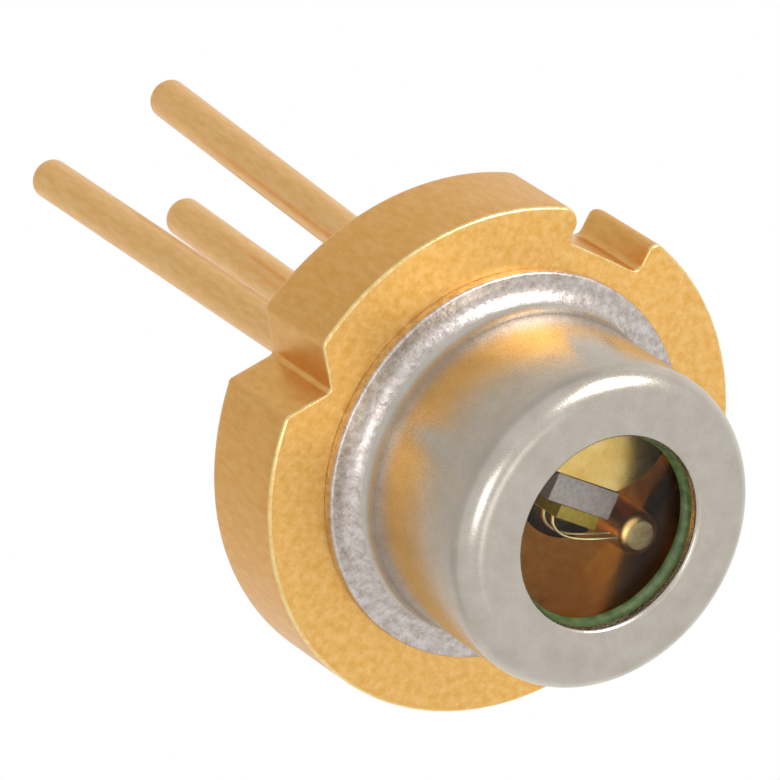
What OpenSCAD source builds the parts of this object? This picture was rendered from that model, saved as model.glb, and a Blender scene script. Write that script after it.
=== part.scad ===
// Laser diode in a 5.6 mm can with three leads, in millimetres.
// The origin is the centre of the stem's front face. The beam leaves along +Z,
// the leads run back along -Z, and the key notch is at +Y.

/* [Stem] */
// Diameter of the stem
stem_d = 5.6; // [5.2:0.1:6.4]
// Thickness of the stem
stem_t = 1.2; // [0.9:0.05:1.6]
// Radius of the stem's front edge
stem_front_edge_r = 0.04; // [0.02:0.01:0.08]
// Radius of the stem's rear edge
stem_rear_edge_r = 0.12; // [0.05:0.01:0.2]
// Radius of the corners where the notches meet the rim
notch_corner_r = 0.1; // [0.04:0.01:0.15]

/* [Notches] */
// Depth of each V notch, from the rim to its rounded root
vee_depth = 0.38; // [0.25:0.01:0.5]
// Angle between the walls of a V notch, in degrees
vee_angle = 98; // [80:1:110]
// Radius of the root of a V notch
vee_root_r = 0.06; // [0.02:0.01:0.15]
// Width of the key notch
key_w = 1.0; // [0.7:0.05:1.2]
// Depth of the key notch, from the rim to its floor
key_depth = 0.42; // [0.25:0.01:0.5]
// Radius of the inner corners of the key notch
key_root_r = 0.08; // [0.02:0.01:0.15]

/* [Leads] */
// Diameter of a lead
lead_d = 0.45; // [0.35:0.01:0.5]
// Diameter of the circle that the leads stand on
lead_circle_d = 2.0; // [1.9:0.02:2.54]
// Length of a lead behind the stem
lead_len = 7.1; // [4:0.1:12]
// Radius of the rounded end of a lead
lead_end_r = 0.09; // [0.03:0.01:0.15]
// Straight length behind the stem before a lead leans
lead_straight = 0.3; // [0.2:0.05:1]
// Radius of the bend where a lead starts to lean, at its centre line
lead_bend_r = 2; // [1:0.5:4]
// Angle that the laser lead leans towards the key notch, in degrees
laser_lead_angle = 1.5; // [0:0.5:4]
// Angle that the monitor lead leans towards the axis, in degrees
monitor_lead_angle = 1.5; // [0:0.5:4]
// Angle that the common lead leans away from the axis, in degrees
common_lead_angle = 3.5; // [0:0.5:4]
// Height of the laser lead above the stem's face
laser_post_h = 1.2; // [0.9:0.02:1.3]
// Height of the monitor lead above the stem's face
monitor_post_h = 0.35; // [0.25:0.05:0.9]
// Reach of the braze round the common lead, along the lead and along the stem
braze_r = 0.14; // [0.08:0.01:0.18]

/* [Glass seals] */
// Diameter of the holes in the stem that the glass fills
seal_d = 0.96; // [0.8:0.02:1.04]
// Depth of the hollow that the glass draws into its faces
seal_hollow = 0.06; // [0.02:0.01:0.1]

/* [Heat sink] */
// Diameter of the round bar that the heat sink is cut from
sink_d = 1.6; // [1.4:0.02:1.7]
// Distance of the bar's centre from the beam
sink_offset = 0.95; // [0.85:0.01:1.1]
// Height of the heat sink above the stem's face
sink_h = 1.26; // [0.9:0.02:1.3]
// Gap between the back of the heat sink and the wall of the cap
sink_gap = 0.2; // [0.12:0.01:0.3]
// Radius of the heat sink's two front corners
sink_corner_r = 0.05; // [0.02:0.01:0.1]
// Turn of the heat sink about the beam, in degrees
sink_turn = 3; // [0:0.5:4]

/* [Chips] */
// Width of the submount
submount_w = 0.88; // [0.7:0.02:0.94]
// Thickness of the submount
submount_t = 0.29; // [0.2:0.01:0.35]
// Length of the submount along the beam
submount_len = 1.0; // [0.7:0.05:1.1]
// Sideways offset of the submount from the beam
submount_offset = 0.06; // [0:0.01:0.08]
// Width of the laser chip
chip_w = 0.5; // [0.3:0.02:0.54]
// Thickness of the laser chip
chip_t = 0.14; // [0.08:0.01:0.16]
// Length of the laser chip along the beam
chip_len = 0.8; // [0.4:0.05:0.9]
// Sideways offset of the laser chip from the beam
chip_offset = 0.14; // [0:0.01:0.16]
// Overhang of the laser chip over the front of the submount
chip_overhang = 0.01; // [0:0.005:0.02]
// Width of the monitor photodiode, which is square
monitor_w = 0.5; // [0.4:0.02:0.6]
// Thickness of the monitor photodiode
monitor_t = 0.2; // [0.1:0.02:0.25]
// Distance of the monitor photodiode's centre from the beam, away from the heat sink
monitor_offset = 0.3; // [0.2:0.02:0.5]

/* [Bond wires] */
// Diameter of a bond wire
wire_d = 0.03; // [0.02:0.005:0.04]
// Distance between the two wires of the laser chip
wire_pitch = 0.14; // [0.08:0.01:0.16]
// Depth of the first laser wire behind the end of the laser lead
wire_set_back = 0.05; // [0.04:0.01:0.08]
// Distance of the laser wires' bonds from the side of the chip
wire_inset = 0.06; // [0.04:0.01:0.1]
// Angle round the laser lead where its wires land, from -Y towards the chip, in degrees
wire_landing = 62; // [40:1:80]
// Height of the arc of a laser wire
laser_wire_loop = 0.08; // [0.04:0.01:0.12]
// Height of the arc of the monitor photodiode's wire
monitor_wire_loop = 0.2; // [0.1:0.01:0.3]

/* [Cap] */
// Outer diameter of the cap's wall
cap_d = 3.55; // [3.4:0.05:3.7]
// Height of the cap above the stem's face
cap_h = 2.12; // [2:0.02:2.5]
// Thickness of the cap's wall
cap_wall = 0.15; // [0.1:0.01:0.18]
// Thickness of the cap's front
cap_front_t = 0.12; // [0.08:0.01:0.16]
// Radius of the cap's rounded shoulder
cap_shoulder_r = 0.22; // [0.16:0.01:0.3]
// Diameter of the cap's flange
flange_d = 4.28; // [4.1:0.02:4.4]
// Height of the cap's flange above the stem's face
flange_t = 0.13; // [0.1:0.01:0.16]
// Depth that the weld sinks the flange into the stem's face
flange_sink = 0.02; // [0.01:0.005:0.04]
// Radius of the flange's front edge
flange_edge_r = 0.04; // [0.02:0.01:0.05]
// Radius of the fillet between the flange and the wall
flange_fillet_r = 0.06; // [0.02:0.01:0.1]
// Diameter of the round opening in the cap's front
aperture_d = 2.11; // [1.6:0.02:2.2]

/* [Window] */
// Diameter of the window
window_d = 2.8; // [2.6:0.02:2.9]
// Thickness of the window
window_t = 0.25; // [0.2:0.01:0.3]
// Thickness of the solder glass between the window and the cap's front
window_seal_t = 0.12; // [0.08:0.01:0.14]
// Distance that the solder glass stands in from the opening, at the window
window_seal_step = 0.05; // [0.02:0.01:0.08]

/* [Hidden] */

$fn = 72;
stem_r = stem_d / 2;
lead_r = lead_d / 2;
lead_circle_r = lead_circle_d / 2;
seal_r = seal_d / 2;
sink_r = sink_d / 2;
cap_r = cap_d / 2;
cap_bore_r = cap_r - cap_wall;
flange_r = flange_d / 2;
aperture_r = aperture_d / 2;
window_r = window_d / 2;
wire_r = wire_d / 2;

// The underside of the cap's front, and the window's two faces
front_underside = cap_h - cap_front_t;
window_top = front_underside - window_seal_t;
window_bottom = window_top - window_t;

// The plane where the laser chip sits on the submount holds the beam
submount_face = 0;
sink_face = submount_face + submount_t;
chip_outer_face = submount_face - chip_t;

// Places of the leads round the beam
laser_lead_at = [lead_circle_r, 0];
monitor_lead_at = [-lead_circle_r, 0];
common_lead_at = [0, lead_circle_r];

// A length well past the rim, for cutters
past = stem_d;

gold = [0.85, 0.66, 0.35];
lead_gold = [0.86, 0.71, 0.45];
nickel = [0.73, 0.70, 0.66];
wire_gold = [0.97, 0.90, 0.60];

// The centre of the arc that rounds the corner between a notch's wall and the rim.
// from: a point on the wall, along: the wall's direction, away: its normal, into the metal.
function corner_centre(from, along, away) =
    let (
        start = from + notch_corner_r * away,
        b = start * along,
        c = start * start - pow(stem_r - notch_corner_r, 2)
    )
    start + (sqrt(b * b - c) - b) * along;

// What a rounded corner takes off the metal beside a notch's wall
module notch_corner(from, along, away) {
    centre = corner_centre(from, along, away);
    foot = centre - notch_corner_r * away;
    outward = centre / norm(centre);
    difference() {
        polygon([foot, centre, centre + past * outward, foot + past * along]);
        translate(centre) circle(r = notch_corner_r);
    }
}

// A notch's outline with its axis along +Y. The walls start at root_half from the axis,
// at the height root_y, and open by half_angle on each side.
module notch_outline(root_half, root_y, half_angle) {
    for (side = [-1, 1]) {
        along = [side * sin(half_angle), cos(half_angle)];
        away = [side * cos(half_angle), -sin(half_angle)];
        notch_corner([side * root_half, root_y], along, away);
    }
    open = past * sin(half_angle);
    top = root_y + past * cos(half_angle);
    polygon([
        [-root_half, root_y], [root_half, root_y],
        [root_half + open, top], [-root_half - open, top]
    ]);
}

module vee_outline() {
    half = vee_angle / 2;
    centre_y = stem_r - vee_depth + vee_root_r;
    notch_outline(vee_root_r * cos(half), centre_y - vee_root_r * sin(half), half);
    translate([0, centre_y]) circle(r = vee_root_r);
}

module key_outline() {
    floor_y = stem_r - key_depth;
    notch_outline(key_w / 2, floor_y + key_root_r, 0);
    for (side = [-1, 1])
        translate([side * (key_w / 2 - key_root_r), floor_y + key_root_r])
            circle(r = key_root_r);
    translate([-key_w / 2 + key_root_r, floor_y])
        square([key_w - 2 * key_root_r, 2 * key_root_r]);
}

// The stem's half section, with its two rounded edges
module stem_section() {
    translate([0, -stem_t]) square([stem_r - stem_rear_edge_r, stem_t]);
    translate([0, stem_rear_edge_r - stem_t])
        square([stem_r, stem_t - stem_rear_edge_r - stem_front_edge_r]);
    translate([0, -stem_front_edge_r])
        square([stem_r - stem_front_edge_r, stem_front_edge_r]);
    translate([stem_r - stem_rear_edge_r, stem_rear_edge_r - stem_t])
        circle(r = stem_rear_edge_r);
    translate([stem_r - stem_front_edge_r, -stem_front_edge_r])
        circle(r = stem_front_edge_r);
}

module stem() {
    color(gold)
        difference() {
            rotate_extrude() stem_section();
            translate([0, 0, -1.5 * stem_t])
                linear_extrude(2 * stem_t) {
                    key_outline();
                    for (turn = [-90, 90]) rotate(turn) vee_outline();
                }
            for (at = [laser_lead_at, monitor_lead_at])
                translate([at.x, at.y, -1.5 * stem_t]) cylinder(r = seal_r, h = 2 * stem_t);
            rotate_extrude()
                translate([cap_bore_r, -flange_sink])
                    square([flange_r - cap_bore_r, 2 * flange_sink]);
        }
}

// The heat sink's outline: a round bar with a flat towards the beam, and its back
// turned down to clear the cap
module sink_outline() {
    corner_y = sink_face + sink_corner_r;
    corner_x = sqrt(pow(sink_r - sink_corner_r, 2) - pow(sink_offset - corner_y, 2));
    // The height where a corner's arc runs into the bar
    meet_y = sink_offset - (sink_offset - corner_y) * sink_r / (sink_r - sink_corner_r);
    intersection() {
        union() {
            intersection() {
                translate([0, sink_offset]) circle(r = sink_r);
                translate([-sink_r, meet_y]) square([sink_d, sink_d]);
            }
            translate([-corner_x, sink_face]) square([2 * corner_x, 2 * sink_corner_r]);
            for (side = [-1, 1])
                translate([side * corner_x, corner_y]) circle(r = sink_corner_r);
        }
        circle(r = cap_bore_r - sink_gap);
    }
}

module heat_sink() {
    color(gold)
        rotate(sink_turn) linear_extrude(sink_h) sink_outline();
}

module submount() {
    color([0.49, 0.44, 0.42])
        rotate(sink_turn)
            translate([submount_offset - submount_w / 2, submount_face, sink_h - submount_len])
                cube([submount_w, submount_t, submount_len]);
}

module laser_chip() {
    color([0.59, 0.47, 0.08])
        rotate(sink_turn)
            translate([
                chip_offset - chip_w / 2, chip_outer_face,
                sink_h + chip_overhang - chip_len
            ])
                cube([chip_w, chip_t, chip_len]);
}

module monitor_photodiode() {
    color([0.2, 0.22, 0.3])
        translate([-monitor_w / 2, -monitor_offset - monitor_w / 2, 0])
            cube([monitor_w, monitor_w, monitor_t]);
}

// A round bar of a lead from z = 0 up, with its upper end rounded
module lead_bar(length) {
    cylinder(r = lead_r, h = length - lead_end_r);
    rotate_extrude() {
        square([lead_r - lead_end_r, length]);
        intersection() {
            translate([lead_r - lead_end_r, length - lead_end_r]) circle(r = lead_end_r);
            square([lead_r, length]);
        }
    }
}

// A lead through or behind the stem. post: its height above the stem's face, or none
// when it ends at the rear face. lean: its slant behind the straight stretch, towards
// the side that the angle round gives, counted from +Y.
module lead(at, post, lean, round = 0) {
    bend_z = -stem_t - lead_straight;
    bend_drop = lead_bend_r * sin(lean);
    bend_shift = lead_bend_r * (1 - cos(lean));
    color(lead_gold)
        translate([at.x, at.y, bend_z]) rotate(round) {
            if (post > 0) lead_bar(post - bend_z);
            else cylinder(r = lead_r, h = lead_straight);
            if (lean > 0)
                translate([0, lead_bend_r, 0])
                    rotate([90, 180, 90])
                        rotate_extrude(angle = lean)
                            translate([lead_bend_r, 0]) circle(r = lead_r);
            translate([0, bend_shift, -bend_drop])
                rotate([180 + lean, 0, 0])
                    lead_bar((lead_len - lead_straight - bend_drop) / cos(lean));
        }
}

module laser_lead() {
    lead(laser_lead_at, laser_post_h, laser_lead_angle);
}

module monitor_lead() {
    lead(monitor_lead_at, monitor_post_h, monitor_lead_angle, round = -90);
}

module common_lead() {
    lead(common_lead_at, 0, common_lead_angle);
}

// The glass round a lead, drawn in at both faces and standing up against the lead
// and the hole
module lead_glass(at) {
    ring = seal_r - lead_r;
    curve_r = (pow(ring / 2, 2) + pow(seal_hollow, 2)) / (2 * seal_hollow);
    color([0.32, 0.36, 0.34])
        translate([at.x, at.y, 0])
            rotate_extrude()
                difference() {
                    translate([lead_r, -stem_t]) square([ring, stem_t]);
                    for (face = [curve_r - seal_hollow, seal_hollow - curve_r - stem_t])
                        translate([lead_r + ring / 2, face]) circle(r = curve_r);
                }
}

module laser_lead_glass() {
    lead_glass(laser_lead_at);
}

module monitor_lead_glass() {
    lead_glass(monitor_lead_at);
}

module common_lead_braze() {
    color([0.80, 0.72, 0.52])
        translate([common_lead_at.x, common_lead_at.y, -stem_t - braze_r])
            rotate_extrude()
                difference() {
                    translate([lead_r, 0]) square(braze_r);
                    translate([lead_r + braze_r, 0]) circle(r = braze_r);
                }
}

// The cap's outer half section: wall, rounded shoulder, flange and fillet
module cap_outer_section() {
    square([cap_r - cap_shoulder_r, cap_h]);
    square([cap_r, cap_h - cap_shoulder_r]);
    translate([cap_r - cap_shoulder_r, cap_h - cap_shoulder_r]) circle(r = cap_shoulder_r);
    translate([0, -flange_sink]) {
        square([flange_r - flange_edge_r, flange_t + flange_sink]);
        square([flange_r, flange_t + flange_sink - flange_edge_r]);
    }
    translate([flange_r - flange_edge_r, flange_t - flange_edge_r]) circle(r = flange_edge_r);
    difference() {
        translate([cap_r, flange_t]) square(flange_fillet_r);
        translate([cap_r + flange_fillet_r, flange_t + flange_fillet_r])
            circle(r = flange_fillet_r);
    }
}

// The hollow of the cap, with an inner shoulder that keeps the wall even
module cap_inner_section() {
    inner_r = max(cap_shoulder_r - cap_wall, cap_wall / 3);
    translate([0, -flange_sink]) {
        square([cap_bore_r - inner_r, front_underside + flange_sink]);
        square([cap_bore_r, front_underside + flange_sink - inner_r]);
    }
    translate([cap_bore_r - inner_r, front_underside - inner_r]) circle(r = inner_r);
    square([aperture_r, 2 * cap_h]);
}

module cap() {
    color(nickel)
        rotate_extrude()
            difference() {
                cap_outer_section();
                cap_inner_section();
            }
}

module window() {
    color([0.8, 0.88, 0.86, 0.4])
        translate([0, 0, window_bottom]) cylinder(r = window_r, h = window_t);
}

// The ring of solder glass, which runs over the window's rim and a little way in past
// the opening
module window_seal() {
    outer = (window_r + cap_bore_r) / 2;
    inner = aperture_r - window_seal_step;
    color([0.31, 0.44, 0.26])
        rotate_extrude() {
            polygon([
                [inner, window_top], [outer, window_top],
                [outer, front_underside], [aperture_r, front_underside]
            ]);
            translate([window_r, window_bottom + window_t / 2])
                square([outer - window_r, window_t / 2]);
        }
}

// A wire between two points as one arc. bulge: how far the arc stands off the straight
// line, towards the direction side, which is square to the line.
module bond_wire(from, to, side, bulge) {
    span = norm(to - from);
    arc_r = (pow(span / 2, 2) + pow(bulge, 2)) / (2 * bulge);
    half = asin(span / 2 / arc_r);
    run = (to - from) / span;
    rise = (side - (side * run) * run) / norm(side - (side * run) * run);
    across = cross(run, rise);
    centre = (from + to) / 2 - (arc_r - bulge) * rise;
    multmatrix([
        [run.x, rise.x, across.x, centre.x],
        [run.y, rise.y, across.y, centre.y],
        [run.z, rise.z, across.z, centre.z],
        [0, 0, 0, 1]
    ])
        rotate([0, 0, 90 - half])
            rotate_extrude(angle = 2 * half)
                translate([arc_r, 0]) circle(r = wire_r, $fn = 24);
}

module laser_bond_wires() {
    bond = [chip_offset - chip_w / 2 + wire_inset, chip_outer_face - wire_r];
    // The same point after the heat sink's turn
    from = [
        bond.x * cos(sink_turn) - bond.y * sin(sink_turn),
        bond.x * sin(sink_turn) + bond.y * cos(sink_turn)
    ];
    to = laser_lead_at - (lead_r + wire_r) * [sin(wire_landing), cos(wire_landing)];
    color(wire_gold)
        for (step = [0, 1]) {
            z = laser_post_h - wire_set_back - step * wire_pitch;
            bond_wire([from.x, from.y, z], [to.x, to.y, z], [0, -1, 0], laser_wire_loop);
        }
}

module monitor_bond_wire() {
    from = [-monitor_w / 4, -monitor_offset, monitor_t + wire_r];
    to = [monitor_lead_at.x + lead_r - lead_end_r, monitor_lead_at.y, monitor_post_h + wire_r];
    color(wire_gold) bond_wire(from, to, [0, 0, 1], monitor_wire_loop);
}

stem();
heat_sink();
submount();
laser_chip();
monitor_photodiode();
laser_lead();
monitor_lead();
common_lead();
laser_lead_glass();
monitor_lead_glass();
common_lead_braze();
cap();
window();
window_seal();
laser_bond_wires();
monitor_bond_wire();
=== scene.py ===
import math

import bmesh
import bpy
from mathutils import Matrix, Vector


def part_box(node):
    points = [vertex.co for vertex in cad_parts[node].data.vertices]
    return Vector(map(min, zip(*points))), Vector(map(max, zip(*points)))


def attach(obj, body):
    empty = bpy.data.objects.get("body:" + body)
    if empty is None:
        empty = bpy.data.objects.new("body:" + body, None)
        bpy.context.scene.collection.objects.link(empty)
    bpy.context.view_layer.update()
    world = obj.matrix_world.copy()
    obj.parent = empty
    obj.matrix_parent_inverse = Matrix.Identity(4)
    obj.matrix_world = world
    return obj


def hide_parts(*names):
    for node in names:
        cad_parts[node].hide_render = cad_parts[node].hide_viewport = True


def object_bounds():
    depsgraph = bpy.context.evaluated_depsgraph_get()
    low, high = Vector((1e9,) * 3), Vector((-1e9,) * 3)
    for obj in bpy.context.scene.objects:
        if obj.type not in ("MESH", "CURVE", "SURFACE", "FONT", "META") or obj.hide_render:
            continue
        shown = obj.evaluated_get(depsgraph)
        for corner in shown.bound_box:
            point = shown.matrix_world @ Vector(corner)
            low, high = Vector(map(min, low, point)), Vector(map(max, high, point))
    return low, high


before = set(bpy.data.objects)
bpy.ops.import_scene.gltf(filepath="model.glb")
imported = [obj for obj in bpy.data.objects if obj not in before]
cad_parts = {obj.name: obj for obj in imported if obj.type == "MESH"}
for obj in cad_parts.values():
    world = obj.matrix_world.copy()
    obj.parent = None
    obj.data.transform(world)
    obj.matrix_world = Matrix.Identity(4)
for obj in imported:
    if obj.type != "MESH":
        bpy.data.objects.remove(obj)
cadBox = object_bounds()
mm = 0.001  # shapes are worked out in millimetres, and the scene is in metres


def toLinear(hexColour):
    channels = [int(hexColour[i:i + 2], 16) / 255 for i in (1, 3, 5)]
    return [c / 12.92 if c <= 0.04045 else ((c + 0.055) / 1.055) ** 2.4 for c in channels] + [1.0]


# settings go to the node's sockets or, where it has none of that name, to the node.
# stops are the places and colours of a colour ramp.
def addNode(tree, kind, settings=None, links=None, stops=()):
    node = tree.nodes.new("ShaderNode" + kind)
    for name, value in (settings or {}).items():
        if isinstance(name, int) or name in node.inputs:
            node.inputs[name].default_value = value
        else:
            setattr(node, name, value)
    for name, source in (links or {}).items():
        tree.links.new(source, node.inputs[name])
    for i, (place, hexColour) in enumerate(stops):
        node.color_ramp.elements[i].position = place
        node.color_ramp.elements[i].color = toLinear(hexColour)
    return node


def newMaterial(name):
    material = bpy.data.materials.new(name)
    material.use_nodes = True
    material.node_tree.nodes.clear()
    return material, material.node_tree


# The lowest and highest corners of a CAD node, in millimetres
def boxOf(node):
    low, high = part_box(node)
    return low / mm, high / mm


# Materials. Sizes in them are in millimetres. The crystals of a plating are a few
# thousandths of a millimetre across, so grain is drawn several times coarser to show.
# pattern says where in the noise each colour and roughness is reached.
pattern = {"grainShare": 0.35, "deepAt": 0.5, "lightAt": 0.85, "roughnessRange": (0.3, 0.7),
           "mottleRange": (0.35, 0.65)}


# A plated metal: the plating's crystals give it a fine grain, and the metal under it
# shows as soft patches. stretch draws both out along the way the metal was drawn.
def platedMetal(name, finish):
    material, tree = newMaterial(name)
    place = addNode(tree, "TexCoord").outputs["Object"]
    drawn = addNode(tree, "Mapping", {"Scale": finish.get("stretch", (1, 1, 1))},
                    {"Vector": place}).outputs[0]
    patches = addNode(tree, "TexNoise", {
        "Scale": 1 / (finish["patch"] * mm), "Detail": 4, "Roughness": 0.6}, {"Vector": drawn})
    grain = addNode(tree, "TexNoise", {
        "Scale": 1 / (finish["grain"] * mm), "Detail": 3, "Roughness": 0.7}, {"Vector": drawn})
    mixed = addNode(tree, "Math", {"operation": "MULTIPLY_ADD", 1: pattern["grainShare"]},
                    {0: grain.outputs["Fac"], 2: patches.outputs["Fac"]})
    tint = addNode(tree, "ValToRGB", {}, {"Fac": mixed.outputs[0]},
                   ((pattern["deepAt"], finish["deep"]), (pattern["lightAt"], finish["light"])))
    rough = addNode(tree, "MapRange", {
        "From Min": pattern["roughnessRange"][0], "From Max": pattern["roughnessRange"][1],
        "To Min": finish["roughness"][0], "To Max": finish["roughness"][1]},
        {"Value": grain.outputs["Fac"]})
    wave = addNode(tree, "Bump", {"Strength": 1, "Distance": finish["patchHeight"] * mm},
                   {"Height": patches.outputs["Fac"]})
    bump = addNode(tree, "Bump", {"Strength": 1, "Distance": finish["grainHeight"] * mm},
                   {"Height": grain.outputs["Fac"], "Normal": wave.outputs[0]})
    surface = addNode(tree, "BsdfPrincipled", {"Metallic": 1}, {
        "Base Color": tint.outputs["Color"], "Roughness": rough.outputs[0],
        "Normal": bump.outputs[0]})
    addNode(tree, "OutputMaterial", {}, {"Surface": surface.outputs[0]})
    return material


# Gold electroplated on steel. The stamped face is matte and bright, the sheared rim is darker
# with soft axial streaks, and the edge is burnished smooth and made paler, a painted highlight.
stemFaceGold = platedMetal("stemFaceGold", {
    "deep": "#e8b058", "light": "#f6c87c", "patch": 0.1, "patchHeight": 0.0016,
    "grain": 0.026, "grainHeight": 0.0014, "roughness": (0.38, 0.54)})
stemRimGold = platedMetal("stemRimGold", {
    "deep": "#e8ae5c", "light": "#f3bd70", "patch": 0.08, "patchHeight": 0.001,
    "grain": 0.028, "grainHeight": 0.0012, "roughness": (0.3, 0.44), "stretch": (1, 1, 0.4)})
# the edge's paler colour is a painted highlight, and its low roughness is the burnish
stemEdgeGoldPaintedHighlight = platedMetal("stemEdgeGoldPaintedHighlight", {
    "deep": "#f0c878", "light": "#ffe6a8", "patch": 0.12, "patchHeight": 0.002,
    "grain": 0.04, "grainHeight": 0.0008, "roughness": (0.14, 0.3)})

# Gold on drawn iron-nickel wire: satin, with faint streaks along the wire
leadGold = platedMetal("leadGold", {
    "deep": "#efbb72", "light": "#f9ca88", "patch": 0.06, "patchHeight": 0.0006,
    "grain": 0.028, "grainHeight": 0.001, "roughness": (0.28, 0.4), "stretch": (1, 1, 0.25)})
# A lead's inner end: matte because it was sheared and not drawn, and pale as a painted highlight
# of the light through the window
leadEndGoldPaintedHighlight = platedMetal("leadEndGoldPaintedHighlight", {
    "deep": "#f2cc8a", "light": "#fff0c4", "patch": 0.08, "patchHeight": 0.004,
    "grain": 0.02, "grainHeight": 0.002, "roughness": (0.55, 0.75)})

# Gold on turned copper: brighter and smoother than the stem
sinkGold = platedMetal("sinkGold", {
    "deep": "#e2b25c", "light": "#f4cf85", "patch": 0.2, "patchHeight": 0.0015,
    "grain": 0.03, "grainHeight": 0.0008, "roughness": (0.26, 0.36)})

# Drawn gold wire, made pale as a painted highlight
wireGoldPaintedHighlight = platedMetal("wireGoldPaintedHighlight", {
    "deep": "#fbe08c", "light": "#fff4c4", "patch": 0.05, "patchHeight": 0.0003,
    "grain": 0.01, "grainHeight": 0.0001, "roughness": (0.26, 0.34)})

# Silver braze under the gold plating: paler than the lead, with a smooth flow
brazeGold = platedMetal("brazeGold", {
    "deep": "#d0b684", "light": "#e8d6ac", "patch": 0.08, "patchHeight": 0.002,
    "grain": 0.03, "grainHeight": 0.0008, "roughness": (0.3, 0.42)})

# Nickel plated on drawn steel. The wall is satin, the flange is rough where the welding
# electrode pressed it, and the inside is coloured gold-brown as a painted reflection of the gold
# stem.
capNickel = platedMetal("capNickel", {
    "deep": "#beb4a5", "light": "#c9c0b2", "patch": 0.3, "patchHeight": 0.0012,
    "grain": 0.024, "grainHeight": 0.0009, "roughness": (0.2, 0.3)})
flangeNickel = platedMetal("flangeNickel", {
    "deep": "#b3a69b", "light": "#dad1ca", "patch": 0.08, "patchHeight": 0.007,
    "grain": 0.024, "grainHeight": 0.002, "roughness": (0.24, 0.42)})
# the inside's gold-brown colour is a painted reflection of the gold stem
capInsidePaintedGoldReflection = platedMetal("capInsidePaintedGoldReflection", {
    "deep": "#c89c5a", "light": "#dcb46e", "patch": 0.2, "patchHeight": 0.002,
    "grain": 0.03, "grainHeight": 0.0006, "roughness": (0.16, 0.26)})


# A glass, ceramic or crystal, with a faint mottle. A ceramic's real grain is finer than
# the mottle, which is drawn as coarse as it needs to be to show.
def mottledSolid(name, finish):
    material, tree = newMaterial(name)
    place = addNode(tree, "TexCoord").outputs["Object"]
    mottle = addNode(tree, "TexNoise", {
        "Scale": 1 / (finish["mottle"] * mm), "Detail": 3}, {"Vector": place})
    deepAt, lightAt = pattern["mottleRange"]
    tint = addNode(tree, "ValToRGB", {}, {"Fac": mottle.outputs["Fac"]},
                   ((deepAt, finish["deep"]), (lightAt, finish["light"])))
    bump = addNode(tree, "Bump", {"Strength": 1, "Distance": finish["height"] * mm},
                   {"Height": mottle.outputs["Fac"]})
    surface = addNode(tree, "BsdfPrincipled", {
        "Roughness": finish["roughness"], "IOR": finish["ior"],
        "Metallic": finish.get("metallic", 0)},
        {"Base Color": tint.outputs["Color"], "Normal": bump.outputs[0]})
    addNode(tree, "OutputMaterial", {}, {"Surface": surface.outputs[0]})
    return material


# Green solder glass, melted: glossy and opaque
solderGlass = mottledSolid("solderGlass", {
    "deep": "#4a5c34", "light": "#64784a", "mottle": 0.12, "height": 0.002,
    "roughness": 0.18, "ior": 1.6})
# Compression glass round the leads, melted: dark brown and glossy
sealGlass = mottledSolid("sealGlass", {
    "deep": "#38291c", "light": "#4d3a29", "mottle": 0.1, "height": 0.001,
    "roughness": 0.12, "ior": 1.52})
# Sintered aluminium nitride: warm grey, matte and fine-grained
nitride = mottledSolid("nitride", {
    "deep": "#7f6e6c", "light": "#998886", "mottle": 0.04, "height": 0.0006,
    "roughness": 0.5, "ior": 2.1})
# Platinum and gold-tin film on the submount's faces: grey with a violet cast
submountMetal = mottledSolid("submountMetal", {
    "deep": "#a39aa6", "light": "#bcb4bd", "mottle": 0.06, "height": 0.0004,
    "roughness": 0.34, "ior": 1.5, "metallic": 1})
# The laser crystal's facet under its oxide film, whose index it has: looks olive
laserCrystal = mottledSolid("laserCrystal", {
    "deep": "#7c6606", "light": "#977d10", "mottle": 0.05, "height": 0.0002,
    "roughness": 0.3, "ior": 1.45})
# Polished silicon: nearly black and mirror-like
silicon = mottledSolid("silicon", {
    "deep": "#1c2030", "light": "#2b3146", "mottle": 0.08, "height": 0.0001,
    "roughness": 0.08, "ior": 3.0})


# Clear float glass with an anti-reflection coating on both faces. coating is the share
# of the bare glass's reflection that it takes away.
def coatedGlass(name, coating):
    material, tree = newMaterial(name)
    clearTint = toLinear("#fbfdfb")
    bare = addNode(tree, "BsdfPrincipled", {
        "Base Color": clearTint, "Roughness": 0.0, "IOR": 1.5, "Transmission Weight": 1.0})
    coated = addNode(tree, "BsdfRefraction", {"Color": clearTint, "Roughness": 0.0, "IOR": 1.5})
    pane = addNode(tree, "MixShader", {0: coating}, {1: bare.outputs[0], 2: coated.outputs[0]})
    # the lamps' light falls straight through the thin pane onto the pieces behind it
    path = addNode(tree, "LightPath")
    clear = addNode(tree, "BsdfTransparent", {"Color": clearTint})
    mixed = addNode(tree, "MixShader", {}, {
        0: path.outputs["Is Shadow Ray"], 1: pane.outputs[0], 2: clear.outputs[0]})
    addNode(tree, "OutputMaterial", {}, {"Surface": mixed.outputs[0]})
    return material


windowGlass = coatedGlass("windowGlass", 0.8)
print("stage: materials made")


# Shape helpers, all in millimetres. A shape is a list of vertices and a list of faces.
sharpAngle = 35  # edges that turn by more degrees than this are drawn sharp


def arcPoints(centre, radius, start, end, steps):
    points = []
    for k in range(steps + 1):
        angle = start + (end - start) * k / steps
        points.append((centre[0] + radius * math.cos(angle), centre[1] + radius * math.sin(angle)))
    return points


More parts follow.
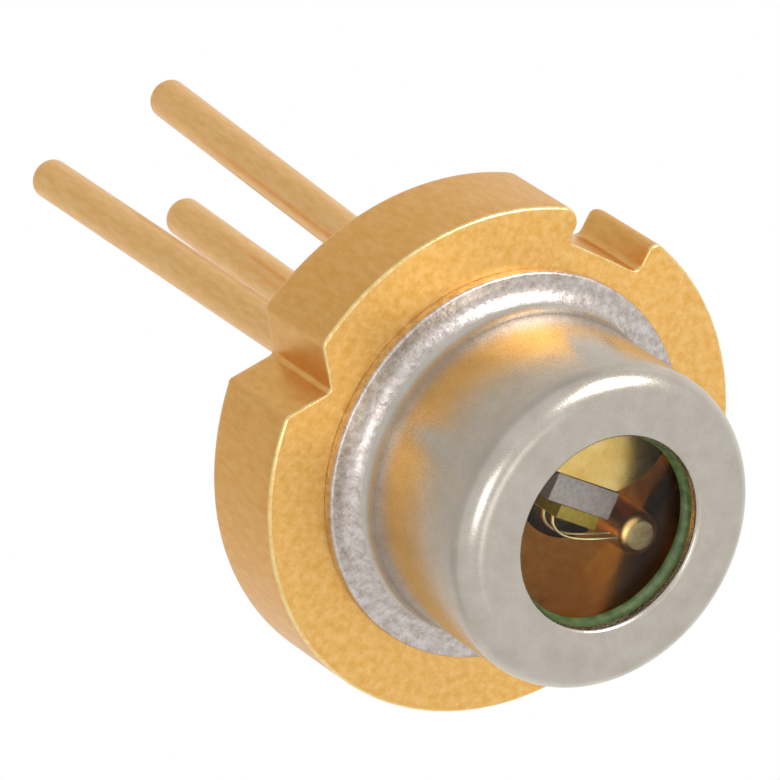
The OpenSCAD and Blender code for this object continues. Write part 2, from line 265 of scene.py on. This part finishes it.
# An outline with each corner (x, y, radius) rounded by an arc
def filletLoop(corners, steps):
    outline = []
    count = len(corners)
    for i, (x, y, radius) in enumerate(corners):
        here = Vector((x, y))
        if radius <= 0:
            outline.append((x, y))
            continue
        toBefore = (Vector(corners[i - 1][:2]) - here).normalized()
        toAfter = (Vector(corners[(i + 1) % count][:2]) - here).normalized()
        half = toBefore.angle(toAfter) / 2
        centre = here + (toBefore + toAfter).normalized() * radius / math.sin(half)
        start = here + toBefore * radius / math.tan(half) - centre
        sweep = math.pi - 2 * half
        if start.y * toBefore.x - start.x * toBefore.y < 0:
            sweep = -sweep
        first = math.atan2(start.y, start.x)
        outline += arcPoints(centre, radius, first, first + sweep, steps)
    return outline


# A profile of (radius, height) points turned round the Z axis
def revolve(profile, segments):
    vertices, faces, rings = [], [], []
    for r, z in profile:
        if r < 1e-9:  # a point on the axis
            rings.append([len(vertices)] * segments)
            vertices.append((0, 0, z))
            continue
        rings.append(list(range(len(vertices), len(vertices) + segments)))
        for k in range(segments):
            angle = 2 * math.pi * k / segments
            vertices.append((r * math.cos(angle), r * math.sin(angle), z))
    for i in range(len(profile)):
        a, b = rings[i], rings[(i + 1) % len(profile)]
        for k in range(segments):
            m = (k + 1) % segments
            corners = list(dict.fromkeys((a[k], a[m], b[m], b[k])))
            if len(corners) > 2:
                faces.append(corners)
    return vertices, faces


# A round tube along a path, with its own radius at each point, closed at both ends
def sweepTube(path, radii, segments):
    points = [Vector(p) for p in path]
    vertices, faces, rings = [], [], []
    direction = (points[1] - points[0]).normalized()
    side = direction.orthogonal().normalized()
    for i, point in enumerate(points):
        ahead = points[min(i + 1, len(points) - 1)] - points[max(i - 1, 0)]
        if ahead.length > 1e-9:
            direction = ahead.normalized()
        side = (side - side.dot(direction) * direction).normalized()
        other = direction.cross(side)
        rings.append(list(range(len(vertices), len(vertices) + segments)))
        for k in range(segments):
            angle = 2 * math.pi * k / segments
            vertices.append(point + radii[i] * (math.cos(angle) * side + math.sin(angle) * other))
    for a, b in zip(rings, rings[1:]):
        for k in range(segments):
            m = (k + 1) % segments
            faces.append((a[k], a[m], b[m], b[k]))
    faces += [rings[0][::-1], rings[-1]]
    return vertices, faces


# A shape turned about Z by degrees, then moved
def placed(shape, degrees=0, move=(0, 0, 0)):
    matrix = Matrix.Translation(Vector(move)) @ Matrix.Rotation(math.radians(degrees), 4, "Z")
    return [matrix @ Vector(v) for v in shape[0]], shape[1]


def shapeOf(build):
    build.verts.index_update()
    shape = ([v.co.copy() for v in build.verts],
             [[v.index for v in face.verts] for face in build.faces])
    build.free()
    return shape


# A box with bevelled edges, from its two corners
def bevelledBox(low, high, bevel):
    build = bmesh.new()
    bmesh.ops.create_cube(build, size=1)
    size, centre = Vector(high) - Vector(low), (Vector(high) + Vector(low)) / 2
    for vertex in build.verts:
        vertex.co = Vector(a * b for a, b in zip(vertex.co, size)) + centre
    bmesh.ops.bevel(build, geom=build.edges[:], offset=bevel, segments=3,
                    profile=0.5, affect="EDGES")
    return shapeOf(build)


# A flat face inside the first loop, with the other loops as holes
def flatFill(loops, z):
    build = bmesh.new()
    edges = []
    for loop in loops:
        ring = [build.verts.new((x, y, z)) for x, y in loop]
        for a, b in zip(ring, ring[1:] + ring[:1]):
            edges.append(build.edges.new((a, b)))
    bmesh.ops.triangle_fill(build, use_beauty=True, use_dissolve=False, edges=edges)
    return shapeOf(build)


def joinShapes(*shapes):
    vertices, faces = [], []
    for moreVertices, moreFaces in shapes:
        start = len(vertices)
        vertices += [Vector(v) for v in moreVertices]
        faces += [[start + i for i in face] for face in moreFaces]
    return vertices, faces


# Walls between loops of the same length, each with its height
def skin(loops):
    vertices, faces = [], []
    count = len(loops[0][0])
    for loop, z in loops:
        vertices += [(x, y, z) for x, y in loop]
    for level in range(len(loops) - 1):
        a, b = level * count, (level + 1) * count
        for k in range(count):
            m = (k + 1) % count
            faces.append((a + k, a + m, b + m, b + k))
    return vertices, faces


# An outline moved in along its normals, by its own amount at each point
def insetLoop(outline, amounts):
    moved = []
    count = len(outline)
    for k, (x, y) in enumerate(outline):
        before, after = Vector(outline[k - 1]), Vector(outline[(k + 1) % count])
        along = (after - before).normalized()
        moved.append((x - along.y * amounts[k], y + along.x * amounts[k]))
    return moved


# The finished piece: in place, shaded, on its body, standing for its CAD node. choose
# gives the number of a face's material from its centre, in millimetres, and its normal.
def makePiece(name, node, shape, materials, choose=None):
    vertices, faces = shape
    mesh = bpy.data.meshes.new(name)
    mesh.from_pydata([Vector(v) * mm for v in vertices], [], faces)
    build = bmesh.new()
    build.from_mesh(mesh)
    bmesh.ops.remove_doubles(build, verts=build.verts, dist=1e-9)
    bmesh.ops.recalc_face_normals(build, faces=build.faces)
    if choose:
        for face in build.faces:
            face.material_index = choose(face.calc_center_median() / mm, face.normal)
    build.to_mesh(mesh)
    build.free()
    for material in materials:
        mesh.materials.append(material)
    mesh.shade_smooth()
    mesh.set_sharp_from_angle(angle=math.radians(sharpAngle))
    piece = bpy.data.objects.new(name, mesh)
    bpy.context.scene.collection.objects.link(piece)
    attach(piece, "root")
    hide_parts(node)


stemLow, stemHigh = boxOf("stem")
stem = {
    "rimRadius": -stemLow.y, "back": stemLow.z, "front": stemHigh.z,
    "frontEdge": 0.035, "rearEdge": 0.11, "notchEdge": 0.02,  # how far each edge is rounded
    "veeDepth": 0.38, "veeAngle": 98, "veeRoot": 0.06,
    "keyWidth": 1.0, "keyDepth": 0.42, "keyRoot": 0.08,
    "veeCorners": (0.1, 0.1), "keyCorners": (0.1, 0.18),  # where a notch's walls meet the rim
    "sealHole": 0.48, "leadCircle": 1.0,
    "cornerSteps": 12, "wallSteps": 8, "veeSteps": 10, "keySteps": 8, "floorSteps": 12,
    "edgeSteps": 8, "rimRings": 5, "rimStep": 0.04, "holeSegments": 96,
    "easeReach": 14,  # points over which the rear edge's rounding dies out beside a notch
    "flatNormal": 0.98,  # a face is flat if its normal has more of Z than this
    "edgeShare": 0.98,  # how much of the front edge's height is burnished and given the painted highlight
}


# The right side of a notch with its axis along +Y, from the rim down to its root, as
# points that each have their share of the rim's edge rounding
def notchSide(rootHalf, rootHeight, halfAngle, corner):
    radius, steps = stem["rimRadius"], stem["cornerSteps"]
    along = Vector((math.sin(halfAngle), math.cos(halfAngle)))
    away = Vector((math.cos(halfAngle), -math.sin(halfAngle)))
    start = Vector((rootHalf, rootHeight)) + corner * away
    b, c = start.dot(along), start.dot(start) - (radius - corner) ** 2
    centre = start + (math.sqrt(b * b - c) - b) * along
    first = math.atan2(centre.y, centre.x)
    last = math.atan2(-away.y, -away.x)
    lip = arcPoints(centre, corner, first, last, steps)
    wallTop, wallFoot = Vector(lip[-1]), Vector((rootHalf, rootHeight))
    wall = [tuple(wallTop.lerp(wallFoot, k / stem["wallSteps"]))
            for k in range(1, stem["wallSteps"])]
    return [(p, 1 - k / steps) for k, p in enumerate(lip)] + [(p, 0.0) for p in wall]


# A whole notch from its right side to its left
def notchPath(rootHalf, rootHeight, halfAngle, rootPoints, corners):
    right, left = (notchSide(rootHalf, rootHeight, halfAngle, corner) for corner in corners)
    left = [((-p[0], p[1]), share) for p, share in reversed(left)]
    return right + [(p, 0.0) for p in rootPoints] + left


def rimBetween(start, end):
    first = math.atan2(start[1], start[0])
    last = math.atan2(end[1], end[0])
    if last < first:
        last += 2 * math.pi
    steps = max(2, int((last - first) * stem["rimRadius"] / stem["rimStep"]))
    return [(p, 1.0) for p in arcPoints((0, 0), stem["rimRadius"], first, last, steps)[1:-1]]


def stemOutline():
    radius = stem["rimRadius"]
    half = math.radians(stem["veeAngle"] / 2)
    veeCentre = radius - stem["veeDepth"] + stem["veeRoot"]
    veeFoot = (stem["veeRoot"] * math.cos(half), veeCentre - stem["veeRoot"] * math.sin(half))
    veeRoot = arcPoints((0, veeCentre), stem["veeRoot"], -half, half - math.pi, stem["veeSteps"])
    vee = notchPath(veeFoot[0], veeFoot[1], half, veeRoot, stem["veeCorners"])
    floor, root = radius - stem["keyDepth"], stem["keyRoot"]
    side = stem["keyWidth"] / 2 - root
    steps, floorSteps = stem["keySteps"], stem["floorSteps"]
    keyRoot = arcPoints((side, floor + root), root, 0, -math.pi / 2, steps)
    keyRoot += [(side * (1 - 2 * k / floorSteps), floor) for k in range(1, floorSteps)]
    keyRoot += arcPoints((-side, floor + root), root, -math.pi / 2, -math.pi, steps)
    key = notchPath(stem["keyWidth"] / 2, floor + root, 0, keyRoot, stem["keyCorners"])
    outline = []
    for notch, degrees in ((vee, -90), (key, 0), (vee, 90)):
        turn = math.radians(degrees)
        spin = [((p[0] * math.cos(turn) - p[1] * math.sin(turn),
                  p[0] * math.sin(turn) + p[1] * math.cos(turn)), share) for p, share in notch]
        if outline:
            outline += rimBetween(outline[-1][0], spin[0][0])
        outline += spin
    return outline + rimBetween(outline[-1][0], outline[0][0])


def buildStem():
    path = stemOutline()
    outline = [p for p, share in path]
    shares = [share for p, share in path]
    # the rear edge rounds off less beside a notch, so that its rings don't cross
    reach, count = stem["easeReach"], len(shares)
    nearby = range(-reach, reach + 1)
    eased = [min(shares[(k + d) % count] for d in nearby) for k in range(count)]
    eased = [sum(eased[(k + d) % count] for d in nearby) / len(nearby) for k in range(count)]
    front = [stem["notchEdge"] + (stem["frontEdge"] - stem["notchEdge"]) * s for s in shares]
    rear = [stem["notchEdge"] + (stem["rearEdge"] - stem["notchEdge"]) * s for s in eased]
    loops = []
    steps = stem["edgeSteps"]
    for k in range(steps + 1):
        angle = math.pi / 2 * k / steps
        loops.append((insetLoop(outline, [r * (1 - math.sin(angle)) for r in rear]),
                      stem["back"] + stem["rearEdge"] * (1 - math.cos(angle))))
    wall = stem["front"] - stem["frontEdge"]
    rings = stem["rimRings"]
    for k in range(1, rings):
        loops.append((outline, loops[steps][1] + (wall - loops[steps][1]) * k / rings))
    for k in range(steps + 1):
        angle = math.pi / 2 * k / steps
        loops.append((insetLoop(outline, [r * (1 - math.cos(angle)) for r in front]),
                      wall + stem["frontEdge"] * math.sin(angle)))
    holes = [arcPoints((side * stem["leadCircle"], 0), stem["sealHole"], 0, 2 * math.pi,
                       stem["holeSegments"])[:-1] for side in (-1, 1)]
    tubes = [skin([(hole, stem["back"]), (hole, stem["front"])]) for hole in holes]
    return joinShapes(skin(loops), flatFill([loops[0][0]] + holes, stem["back"]),
                      flatFill([loops[-1][0]] + holes, stem["front"]), *tubes)


# The two flat faces, the burnished front edge with its painted highlight, and the rest
def stemFinish(centre, normal):
    if abs(normal.z) > stem["flatNormal"]:
        return 0
    return 2 if centre.z > stem["front"] - stem["frontEdge"] * stem["edgeShare"] else 1


makePiece("stem", "stem", buildStem(), [stemFaceGold, stemRimGold, stemEdgeGoldPaintedHighlight],
          stemFinish)
print("stage: stem made")


lead = {
    "radius": 0.225, "endRadius": 0.09, "straight": 0.3, "bend": 2.0,
    "laserLength": 7.1, "monitorLength": 7.06, "commonLength": 6.99,  # behind the stem
    "laserLean": 1.5, "monitorLean": 0.9, "commonLean": 2.9,  # degrees
    "segments": 64, "endSteps": 10, "wallSteps": 5, "bendSteps": 4, "barSteps": 12,
    "endNormal": 0.995,  # a face is the sheared end's, with its painted highlight, if its normal has more of Z than this
}


# A lead from its top down to its tip. It bends behind the stem and leans towards the
# side that facing gives, in degrees from +Y.
def buildLead(at, top, length, lean, facing):
    back, radius, end = stem["back"], lead["radius"], lead["endRadius"]
    steps, angle = lead["endSteps"], math.radians(lean)
    quarter = [math.pi / 2 * k / steps for k in range(steps + 1)]
    rings = [((0, 0, back), radius)]  # the common lead starts at the stem's back
    if top > back:
        rings = [((0, 0, top - end * (1 - math.cos(turn))), radius - end * (1 - math.sin(turn)))
                 for turn in quarter]
    bendTop = back - lead["straight"]
    for k in range(1, lead["wallSteps"] + 1):  # these rings close up towards the bend
        above = rings[-1][0][2]
        rings.append(((0, 0, above + (bendTop - above) * k / lead["wallSteps"]), radius))
    for k in range(1, lead["bendSteps"] + 1):
        part = angle * k / lead["bendSteps"]
        rings.append(((0, lead["bend"] * (1 - math.cos(part)),
                       bendTop - lead["bend"] * math.sin(part)), radius))
    start = Vector(rings[-1][0])
    direction = Vector((0, math.sin(angle), -math.cos(angle)))
    reach = (back - length - start.z) / direction.z
    bar = lead["barSteps"]
    rings += [(start + direction * (reach - end) * k / bar, radius) for k in range(1, bar + 1)]
    rings += [(start + direction * (reach - end * (1 - math.sin(turn))),
               radius - end * (1 - math.cos(turn))) for turn in quarter[1:]]
    tube = sweepTube([point for point, r in rings], [r for point, r in rings], lead["segments"])
    return placed(tube, facing, (at[0], at[1], 0))


# The sheared inner end with its painted highlight, and the rest
def leadFinish(centre, normal):
    return 1 if centre.z > 0 and normal.z > lead["endNormal"] else 0


laserLeadTop = boxOf("laser_lead")[1].z
monitorLeadTop = boxOf("monitor_lead")[1].z
for pin, at, top, facing in (("laser", (stem["leadCircle"], 0), laserLeadTop, 0),
                             ("monitor", (-stem["leadCircle"], 0), monitorLeadTop, -90),
                             ("common", (0, stem["leadCircle"]), stem["back"], 0)):
    shape = buildLead(at, top, lead[pin + "Length"], lead[pin + "Lean"], facing)
    makePiece(pin + "Lead", pin + "_lead", shape, [leadGold, leadEndGoldPaintedHighlight], leadFinish)
print("stage: leads made")


seal = {"hollow": 0.06, "steps": 12}  # how deep its faces are hollowed
braze = {"reach": 0.14, "steps": 12, "segments": 96}

steps = seal["steps"]
for pin, side in (("laser", 1), ("monitor", -1)):
    profile = []
    for sign, z in ((1, stem["back"]), (-1, stem["front"])):
        ring = [(lead["radius"] + (stem["sealHole"] - lead["radius"]) * k / steps,
                 z + sign * seal["hollow"] * math.sin(math.pi * k / steps))
                for k in range(steps + 1)]
        profile += ring if sign > 0 else ring[::-1]
    shape = placed(revolve(profile, stem["holeSegments"]), 0, (side * stem["leadCircle"], 0, 0))
    makePiece(pin + "LeadGlass", pin + "_lead_glass", shape, [sealGlass])

profile = [(lead["radius"], stem["back"])]
profile += arcPoints((lead["radius"] + braze["reach"], stem["back"] - braze["reach"]),
                     braze["reach"], math.pi / 2, math.pi, braze["steps"])
shape = placed(revolve(profile, braze["segments"]), 0, (0, stem["leadCircle"], 0))
makePiece("commonLeadBraze", "common_lead_braze", shape, [brazeGold])
print("stage: seals made")


capHigh = boxOf("cap")[1]
windowLow, windowHigh = boxOf("window")
cap = {
    "radius": 1.775, "top": capHigh.z, "wall": 0.15, "frontThickness": 0.12,
    "shoulder": 0.28, "innerShoulder": 0.07, "fillet": 0.26,
    "flangeRadius": capHigh.x, "flangeTop": 0.13, "flangeEdge": 0.035, "burr": 0.01,
    "opening": 1.055, "openingEdge": 0.05, "arcSteps": 14, "segments": 288,
    "weldHeight": 0.23, "weldGap": 0.02,  # how far up, and how near, the weld leaves it rough
}
pane = {"radius": 1.4, "bevel": 0.03, "bevelSteps": 5, "segments": 192}
solder = {
    "outer": 1.5125, "segments": 224, "lipSteps": 10,
    "skirt": 0.125,  # how far it runs down the window's rim
    "lip": 0.05,  # how far it stands in over the window, past the cap's opening
}

capBore = cap["radius"] - cap["wall"]
capUnderside = cap["top"] - cap["frontThickness"]


def buildCap():
    corners = [
        (capBore, 0, 0), (cap["flangeRadius"], 0, cap["burr"]),
        (cap["flangeRadius"], cap["flangeTop"], cap["flangeEdge"]),
        (cap["radius"], cap["flangeTop"], cap["fillet"]),
        (cap["radius"], cap["top"], cap["shoulder"]),
        (cap["opening"], cap["top"], cap["openingEdge"]),
        (cap["opening"], capUnderside, cap["burr"]),
        (capBore, capUnderside, cap["innerShoulder"])]
    return revolve(filletLoop(corners, cap["arcSteps"]), cap["segments"])


# The rough flange and foot of the wall, the inside with its painted gold reflection, and the satin
# rest
def capFinish(centre, normal):
    across = math.hypot(centre.x, centre.y)
    if centre.z < cap["weldHeight"] and across > cap["radius"] + cap["weldGap"]:
        return 1
    margin = 0.005  # so that faces on the bore and underside count as inside
    return 2 if across < capBore + margin and centre.z < capUnderside + margin else 0


def buildPane():
    return revolve(filletLoop([
        (0, windowLow.z, 0), (pane["radius"], windowLow.z, pane["bevel"]),
        (pane["radius"], windowHigh.z, pane["bevel"]), (0, windowHigh.z, 0)],
        pane["bevelSteps"]), pane["segments"])


# Fills the gap between window and cap, and runs down the window's rim as a skirt
def buildSolder():
    foot, steps = windowHigh.z - solder["skirt"], solder["lipSteps"]
    profile = [(solder["outer"], foot), (solder["outer"], capUnderside)]
    profile += [(cap["opening"] - solder["lip"] * math.sin(math.pi / 2 * k / steps) ** 2,
                 capUnderside + (windowHigh.z - capUnderside) * k / steps)
                for k in range(steps + 1)]
    profile += [(pane["radius"], windowHigh.z), (pane["radius"], foot)]
    return revolve(profile, solder["segments"])


makePiece("cap", "cap", buildCap(), [capNickel, flangeNickel, capInsidePaintedGoldReflection],
          capFinish)
makePiece("window", "window", buildPane(), [windowGlass])
makePiece("windowSeal", "window_seal", buildSolder(), [solderGlass])
print("stage: cap and window made")


sinkTop = boxOf("heat_sink")[1].z
sink = {"turn": 3, "radius": 0.8, "offset": 0.95, "flat": 0.29, "corner": 0.05,
        "backRadius": 1.425, "edge": 0.015, "edgeSteps": 4,
        "cornerSteps": 8, "sideSteps": 40, "backSteps": 24}
submount = {"width": 0.78, "thickness": 0.29, "length": 1.0, "offset": 0.11}
chip = {"width": 0.5, "thickness": 0.14, "length": 0.8, "offset": 0.14, "overhang": 0.01}
slabBevel = 0.008
monitorBevel = 0.01
filmNormal = 0.6  # a face has metal film if its normal has more of Y than this


# A round bar with a flat towards the beam and its back turned to fit the cap
def buildSink():
    r, d, corner = sink["radius"], sink["offset"], sink["corner"]
    cornerY = sink["flat"] + corner
    cornerX = math.sqrt((r - corner) ** 2 - (d - cornerY) ** 2)
    meet = math.atan2(cornerY - d, cornerX)
    crossY = (sink["backRadius"] ** 2 - r * r + d * d) / (2 * d)
    crossX = math.sqrt(sink["backRadius"] ** 2 - crossY ** 2)
    right = arcPoints((cornerX, cornerY), corner, -math.pi / 2, meet, sink["cornerSteps"])
    right += arcPoints((0, d), r, meet, math.atan2(crossY - d, crossX), sink["sideSteps"])[1:]
    back = arcPoints((0, 0), sink["backRadius"], math.atan2(crossY, crossX), math.pi / 2,
                     sink["backSteps"])[1:]
    outline = right + back
    outline += [(-x, y) for x, y in reversed(outline[:-1])]
    edge, steps = sink["edge"], sink["edgeSteps"]
    loops = [(outline, 0), (outline, sinkTop - edge)]
    for k in range(1, steps + 1):
        angle = math.pi / 2 * k / steps
        amount = edge * (1 - math.cos(angle))
        loops.append((insetLoop(outline, [amount] * len(outline)),
                      sinkTop - edge + edge * math.sin(angle)))
    return placed(joinShapes(skin(loops), flatFill([outline], 0),
                             flatFill([loops[-1][0]], sinkTop)), sink["turn"])


# The submount or the chip: a plate that stands from back to front along Y
def buildSlab(size, back, front, top):
    low = (size["offset"] - size["width"] / 2, back, top - size["length"])
    high = (size["offset"] + size["width"] / 2, front, top)
    return placed(bevelledBox(low, high, slabBevel), sink["turn"])


# Metal film lies on both broad faces of the submount and on the chip's outer face
def submountFinish(centre, normal):
    return 1 if abs(normal.y) > filmNormal else 0


def chipFinish(centre, normal):
    return 1 if normal.y < -filmNormal else 0


makePiece("heatSink", "heat_sink", buildSink(), [sinkGold])
makePiece("submount", "submount", buildSlab(submount, 0, submount["thickness"], sinkTop),
          [nitride, submountMetal], submountFinish)
makePiece("laserChip", "laser_chip",
          buildSlab(chip, -chip["thickness"], 0, sinkTop + chip["overhang"]),
          [laserCrystal, wireGoldPaintedHighlight], chipFinish)
monitorLow, monitorHigh = boxOf("monitor_photodiode")
makePiece("monitorPhotodiode", "monitor_photodiode",
          bevelledBox(monitorLow, monitorHigh, monitorBevel), [silicon])
print("stage: chips made")


wire = {
    "radius": 0.015, "pitch": 0.14, "setBack": 0.05, "inset": 0.06,
    "landing": 62,  # degrees round the laser lead from -Y, where the wires land
    "laserLoop": 0.15, "laserLean": 0.6, "monitorLoop": 0.2, "monitorLean": 1.0,
    "steps": 32, "segments": 20,
}


# A wire from point to point as one arc that stands off by bulge towards side. A lean
# below 1 brings the crown of the arc nearer to its start.
def buildWire(start, end, side, bulge, lean):
    start, end, side = Vector(start), Vector(end), Vector(side)
    run = (end - start).normalized()
    rise = (side - side.dot(run) * run).normalized()
    steps = wire["steps"]
    path = [start.lerp(end, k / steps) + rise * bulge * math.sin(math.pi * (k / steps) ** lean)
            for k in range(steps + 1)]
    return sweepTube(path, [wire["radius"]] * len(path), wire["segments"])


turnSink = Matrix.Rotation(math.radians(sink["turn"]), 3, "Z")
bondAt = turnSink @ Vector((chip["offset"] - chip["width"] / 2 + wire["inset"],
                            -chip["thickness"] - wire["radius"], 0))
landing = math.radians(wire["landing"])
touch = lead["radius"] + wire["radius"]
postAt = Vector((stem["leadCircle"] - touch * math.sin(landing), -touch * math.cos(landing), 0))
laserWires = []
for step in range(2):
    height = Vector((0, 0, laserLeadTop - wire["setBack"] - step * wire["pitch"]))
    laserWires.append(buildWire(bondAt + height, postAt + height, (0, -1, 0),
                                wire["laserLoop"], wire["laserLean"]))
makePiece("laserBondWires", "laser_bond_wires", joinShapes(*laserWires), [wireGoldPaintedHighlight])

padAt = ((monitorLow.x + monitorHigh.x) / 2 - (monitorHigh.x - monitorLow.x) / 4,
         (monitorLow.y + monitorHigh.y) / 2, monitorHigh.z + wire["radius"])
topAt = (lead["radius"] - lead["endRadius"] - stem["leadCircle"], 0,
         monitorLeadTop + wire["radius"])
makePiece("monitorBondWire", "monitor_bond_wire",
          buildWire(padAt, topAt, (0, 0, 1), wire["monitorLoop"], wire["monitorLean"]),
          [wireGoldPaintedHighlight])
print("stage: wires made")


view = {"place": (-61.734, 9.503, 76.790), "turn": (-23.582, -31.135, 31.407),
        "lens": 439.7, "sensor": 36, "clip": (5, 5000)}
cameraData = bpy.data.cameras.new("camera")
cameraData.lens = view["lens"]
cameraData.sensor_width = view["sensor"]
cameraData.clip_start, cameraData.clip_end = (distance * mm for distance in view["clip"])
camera = bpy.data.objects.new("camera", cameraData)
camera.location = Vector(view["place"]) * mm
camera.rotation_euler = [math.radians(a) for a in view["turn"]]
bpy.context.scene.collection.objects.link(camera)
bpy.context.scene.camera = camera

studio = {
    "floorDrop": 40, "floorSize": 1200,
    "floorShine": (0.66, 1.0), "falloff": 45,  # how bright metal sees it, from -X to +X
    "skyLight": 0.95, "lampDistance": 300,
}


# 1 for rays by which the camera sees a surface, straight or through glass, and else 0
def cameraShare(tree):
    path = addNode(tree, "LightPath")
    return addNode(tree, "Math", {"operation": "MAXIMUM"}, {
        0: path.outputs["Is Camera Ray"], 1: path.outputs["Is Transmission Ray"]}).outputs[0]


# White laminate: plain white to the camera and through glass, and brighter towards +X
# in the metal's reflections, as a table is near its window
def backdropMaterial():
    material, tree = newMaterial("whiteLaminate")
    path = addNode(tree, "LightPath")
    matt = addNode(tree, "BsdfDiffuse", {"Color": toLinear("#e6e4e0")})
    plain = addNode(tree, "Emission", {"Color": (1, 1, 1, 1), "Strength": 1})
    place = addNode(tree, "TexCoord").outputs["Object"]
    across = addNode(tree, "SeparateXYZ", {}, {"Vector": place})
    falloff = addNode(tree, "MapRange", {
        "From Min": -studio["falloff"] * mm, "From Max": studio["falloff"] * mm,
        "To Min": studio["floorShine"][0], "To Max": studio["floorShine"][1]},
        {"Value": across.outputs["X"]})
    dim = addNode(tree, "Emission", {"Color": (1, 1, 1, 1)}, {"Strength": falloff.outputs[0]})
    glossy = addNode(tree, "MixShader", {}, {
        0: path.outputs["Is Glossy Ray"], 1: matt.outputs[0], 2: dim.outputs[0]})
    mixed = addNode(tree, "MixShader", {}, {
        0: cameraShare(tree), 1: glossy.outputs[0], 2: plain.outputs[0]})
    # clear from below, so that the part's back can be looked at
    behind = addNode(tree, "NewGeometry").outputs["Backfacing"]
    clear = addNode(tree, "BsdfTransparent")
    sided = addNode(tree, "MixShader", {}, {
        0: behind, 1: mixed.outputs[0], 2: clear.outputs[0]})
    addNode(tree, "OutputMaterial", {}, {"Surface": sided.outputs[0]})
    return material


half = studio["floorSize"] * mm / 2
floorMesh = bpy.data.meshes.new("floor")
floorMesh.from_pydata([(-half, -half, 0), (half, -half, 0), (half, half, 0), (-half, half, 0)],
                      [], [(0, 1, 2, 3)])
floorMesh.materials.append(backdropMaterial())
floor = bpy.data.objects.new("floor", floorMesh)
floor.location.z = cadBox[0].z - studio["floorDrop"] * mm
bpy.context.scene.collection.objects.link(floor)

world = bpy.data.worlds.new("studio")
bpy.context.scene.world = world
world.use_nodes = True
tree = world.node_tree
tree.nodes.clear()
softLight = addNode(tree, "Background", {"Color": toLinear("#f4f6fa"),
                                         "Strength": studio["skyLight"]})
white = addNode(tree, "Background", {"Color": (1, 1, 1, 1), "Strength": 1})
mixed = addNode(tree, "MixShader", {}, {
    0: cameraShare(tree), 1: softLight.outputs[0], 2: white.outputs[0]})
addNode(tree, "OutputWorld", {}, {"Surface": mixed.outputs[0]})


# A square softbox that looks at the object. brightness is its radiance, where 1 is white.
def softbox(name, towards, size, brightness):
    data = bpy.data.lights.new(name, "AREA")
    data.shape = "SQUARE"
    data.size = size * mm
    data.energy = brightness * math.pi * data.size ** 2
    lamp = bpy.data.objects.new(name, data)
    direction = Vector(towards).normalized()
    lamp.location = direction * studio["lampDistance"] * mm
    lamp.rotation_euler = direction.to_track_quat("Z", "Y").to_euler()
    bpy.context.scene.collection.objects.link(lamp)


softbox("keyLight", (0.10, 0.76, 0.64), 150, 6.0)
softbox("fillLight", (-0.51, -0.21, 0.83), 110, 3.0)
softbox("beamLight", (0.22, -0.12, 0.97), 100, 0.8)
bpy.context.scene.view_settings.view_transform = "Standard"
print("stage: studio made")
